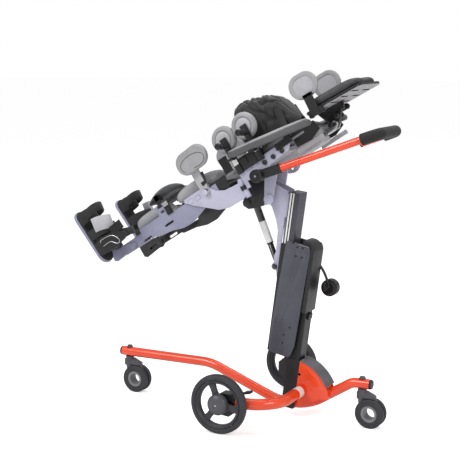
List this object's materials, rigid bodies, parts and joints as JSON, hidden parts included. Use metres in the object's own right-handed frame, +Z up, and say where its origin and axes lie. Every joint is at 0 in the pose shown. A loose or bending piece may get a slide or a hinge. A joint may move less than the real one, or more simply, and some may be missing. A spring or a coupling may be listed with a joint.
{
  "type": "pediatric standing frame",
  "caption": "Tilting padded standing frame for a child: a board with leg, trunk and head supports on a lift column over a wheeled tube base.",
  "frame": {"origin": "on the floor under the middle of the bounding box", "axes": "+X from the foot end to the head and handle end, +Y from the near side to the far side, +Z up"},
  "size_m": [1.1725, 0.6326, 1.1789],
  "materials": {
    "red_paint": "gloss",
    "tread": "ribbed",
    "black_plastic": "matte",
    "steel": "brushed",
    "dark_metal": "painted satin",
    "casing": "satin",
    "gray_rubber": "matte",
    "tyre_rubber": "matte",
    "rail_metal": "satin",
    "lilac_metal": "painted satin",
    "chromed": "polished",
    "black_pad": "matte",
    "gray_pad": "matte",
    "red_metal": "painted gloss",
    "foam": "matte"
  },
  "bodies": {
    "base": {"spine_tube": "red_paint", "cross_tube": "red_paint", "gusset": "red_paint", "tread_cover": "tread", "end_caps": "black_plastic", "base_bolts": "steel", "mast": "dark_metal", "side_covers": "casing", "battery_shell": "casing", "hub_housings": "dark_metal"},
    "latch": {"battery_latch": "black_plastic"},
    "crank": {"crank": "black_plastic"},
    "near_brake": {"near_brake_pedal": "black_plastic"},
    "far_brake": {"far_brake_pedal": "black_plastic"},
    "front_fork": {"front_castor_fork": "black_plastic"},
    "front_rollers": {"front_castor_wheels": "gray_rubber"},
    "rear_fork": {"rear_castor_fork": "black_plastic"},
    "rear_rollers": {"rear_castor_wheels": "gray_rubber"},
    "near_big_wheel": {"near_wheel": "black_plastic", "near_tyre": "tyre_rubber"},
    "far_big_wheel": {"far_wheel": "black_plastic", "far_tyre": "tyre_rubber"},
    "lift": {"lift_column": "rail_metal", "sail_plates": "lilac_metal", "tilt_rod": "chromed"},
    "actuator": {"tilt_actuator": "dark_metal"},
    "board": {"tilt_cheeks": "lilac_metal", "board_frame": "rail_metal", "side_plates": "lilac_metal", "board_bolts": "steel", "trunk_panel": "black_plastic", "trunk_cushion": "black_pad", "arm_posts": "black_plastic", "arm_pads": "gray_pad", "harness": "black_pad", "handle_hub": "black_plastic"},
    "near_trunk_supports": {"near_laterals": "gray_pad"},
    "far_trunk_supports": {"far_laterals": "gray_pad"},
    "head_slider": {"head_post": "dark_metal"},
    "head_rest": {"head_shell": "black_plastic", "head_cushion": "gray_pad"},
    "near_wing": {"near_head_wing": "gray_pad"},
    "far_wing": {"far_head_wing": "gray_pad"},
    "handle": {"handle_tube": "red_metal", "handle_grip": "foam", "handle_cap": "black_plastic"},
    "near_thigh": {"near_thigh_plate": "lilac_metal", "near_thigh_pad": "gray_pad"},
    "near_hip_support": {"near_hip_pad": "gray_pad"},
    "near_leg": {"near_leg_arm": "lilac_metal", "near_calf_pad": "gray_pad"},
    "near_knee": {"near_knee_pad": "black_pad"},
    "near_foot": {"near_sandal": "black_plastic"},
    "far_thigh": {"far_thigh_plate": "lilac_metal", "far_thigh_pad": "gray_pad"},
    "far_hip_support": {"far_hip_pad": "gray_pad"},
    "far_leg": {"far_leg_arm": "dark_metal", "far_calf_pad": "gray_pad"},
    "far_knee": {"far_knee_pad": "black_pad"},
    "far_foot": {"far_sandal": "black_plastic"}
  },
  "joints": [
    {"name": "latch_slide", "type": "slide", "parent": "base", "child": "latch", "axis": [0.1357, 0, 0.9907], "range_m": [0, 0.005], "stiffness_N_per_m": 400},
    {"name": "crank_turn", "type": "hinge", "parent": "base", "child": "crank", "pos_m": [0.28903, 0.045, 0.54024], "axis": [0, 1, 0], "continuous": true},
    {"name": "near_brake_press", "type": "hinge", "parent": "base", "child": "near_brake", "pos_m": [0.11423, -0.22, 0.119], "axis": [0, 1, 0], "range_deg": [0, 18]},
    {"name": "far_brake_press", "type": "hinge", "parent": "base", "child": "far_brake", "pos_m": [0.11423, 0.22, 0.119], "axis": [0, 1, 0], "range_deg": [0, 18]},
    {"name": "front_swivel", "type": "hinge", "parent": "base", "child": "front_fork", "pos_m": [-0.42977, 0, 0.11], "axis": [0, 0, 1], "continuous": true},
    {"name": "front_roll", "type": "hinge", "parent": "front_fork", "child": "front_rollers", "pos_m": [-0.39877, 0, 0.05], "axis": [0, 1, 0], "continuous": true},
    {"name": "rear_swivel", "type": "hinge", "parent": "base", "child": "rear_fork", "pos_m": [0.48123, 0, 0.11], "axis": [0, 0, 1], "continuous": true},
    {"name": "rear_roll", "type": "hinge", "parent": "rear_fork", "child": "rear_rollers", "pos_m": [0.51223, 0, 0.05], "axis": [0, 1, 0], "continuous": true},
    {"name": "near_wheel_roll", "type": "hinge", "parent": "base", "child": "near_big_wheel", "pos_m": [0.09223, -0.2875, 0.1], "axis": [0, 1, 0], "continuous": true},
    {"name": "far_wheel_roll", "type": "hinge", "parent": "base", "child": "far_big_wheel", "pos_m": [0.09223, 0.2875, 0.1], "axis": [0, 1, 0], "continuous": true},
    {"name": "lift_slide", "type": "slide", "parent": "base", "child": "lift", "axis": [0.1357, 0, 0.9907], "range_m": [-0.06, 0.11]},
    {"name": "tilt", "type": "hinge", "parent": "lift", "child": "board", "pos_m": [0.15723, 0, 0.751], "axis": [0, -1, 0], "range_deg": [-33, 50]},
    {"name": "tilt_stroke", "type": "slide", "parent": "lift", "child": "actuator", "axis": [-0.3825, 0, 0.924], "range_m": [-0.066, 0.044]},
    {"name": "handle_angle", "type": "hinge", "parent": "board", "child": "handle", "pos_m": [0.16321, -0.141, 0.84002], "axis": [0, -1, 0], "range_deg": [-25, 8]},
    {"name": "head_slide", "type": "slide", "parent": "board", "child": "head_slider", "axis": [0.8387, 0, 0.5446], "range_m": [0, 0.06]},
    {"name": "head_angle", "type": "hinge", "parent": "head_slider", "child": "head_rest", "pos_m": [0.375, 0, 1.00689], "axis": [0, 1, 0], "range_deg": [-5, 20]},
    {"name": "near_wing_fold", "type": "hinge", "parent": "head_rest", "child": "near_wing", "pos_m": [0.35007, -0.107, 1.04566], "axis": [0.8746, 0, 0.4848], "range_deg": [0, 40]},
    {"name": "near_trunk_slide", "type": "slide", "parent": "board", "child": "near_trunk_supports", "axis": [0, 1, 0], "range_m": [0, 0.02]},
    {"name": "near_abduction", "type": "hinge", "parent": "board", "child": "near_thigh", "pos_m": [0.10283, -0.1251, 0.79437], "axis": [-0.5446, 0, 0.8387], "range_deg": [0, 30]},
    {"name": "near_hip_swing", "type": "hinge", "parent": "near_thigh", "child": "near_hip_support", "pos_m": [-0.03611, -0.135, 0.7733], "axis": [0, 1, 0], "range_deg": [-15, 15]},
    {"name": "near_leg_length", "type": "slide", "parent": "near_thigh", "child": "near_leg", "axis": [-0.8387, 0, -0.5446], "range_m": [-0.02, 0.06]},
    {"name": "near_knee_swing", "type": "hinge", "parent": "near_leg", "child": "near_knee", "pos_m": [-0.22461, -0.1183, 0.71288], "axis": [0.8387, 0, 0.5446], "range_deg": [0, 90]},
    {"name": "near_foot_angle", "type": "hinge", "parent": "near_leg", "child": "near_foot", "pos_m": [-0.32705, -0.125, 0.56767], "axis": [0, 1, 0], "range_deg": [-10, 15]},
    {"name": "far_wing_fold", "type": "hinge", "parent": "head_rest", "child": "far_wing", "pos_m": [0.35007, 0.107, 1.04566], "axis": [-0.8746, 0, -0.4848], "range_deg": [0, 40]},
    {"name": "far_trunk_slide", "type": "slide", "parent": "board", "child": "far_trunk_supports", "axis": [0, -1, 0], "range_m": [0, 0.02]},
    {"name": "far_abduction", "type": "hinge", "parent": "board", "child": "far_thigh", "pos_m": [0.10283, 0.1251, 0.79437], "axis": [0.5446, 0, -0.8387], "range_deg": [0, 30]},
    {"name": "far_hip_swing", "type": "hinge", "parent": "far_thigh", "child": "far_hip_support", "pos_m": [-0.03611, 0.135, 0.7733], "axis": [0, 1, 0], "range_deg": [-15, 15]},
    {"name": "far_leg_length", "type": "slide", "parent": "far_thigh", "child": "far_leg", "axis": [-0.8387, 0, -0.5446], "range_m": [-0.05, 0.03]},
    {"name": "far_knee_swing", "type": "hinge", "parent": "far_leg", "child": "far_knee", "pos_m": [-0.25984, 0.1183, 0.69001], "axis": [-0.8387, 0, -0.5446], "range_deg": [0, 90]},
    {"name": "far_foot_angle", "type": "hinge", "parent": "far_leg", "child": "far_foot", "pos_m": [-0.36227, 0.125, 0.54479], "axis": [0, 1, 0], "range_deg": [-10, 15]}
  ],
  "couplings": [
    {"joint": "tilt_stroke", "follows": "tilt", "m_per_rad": -0.0722}
  ]
}
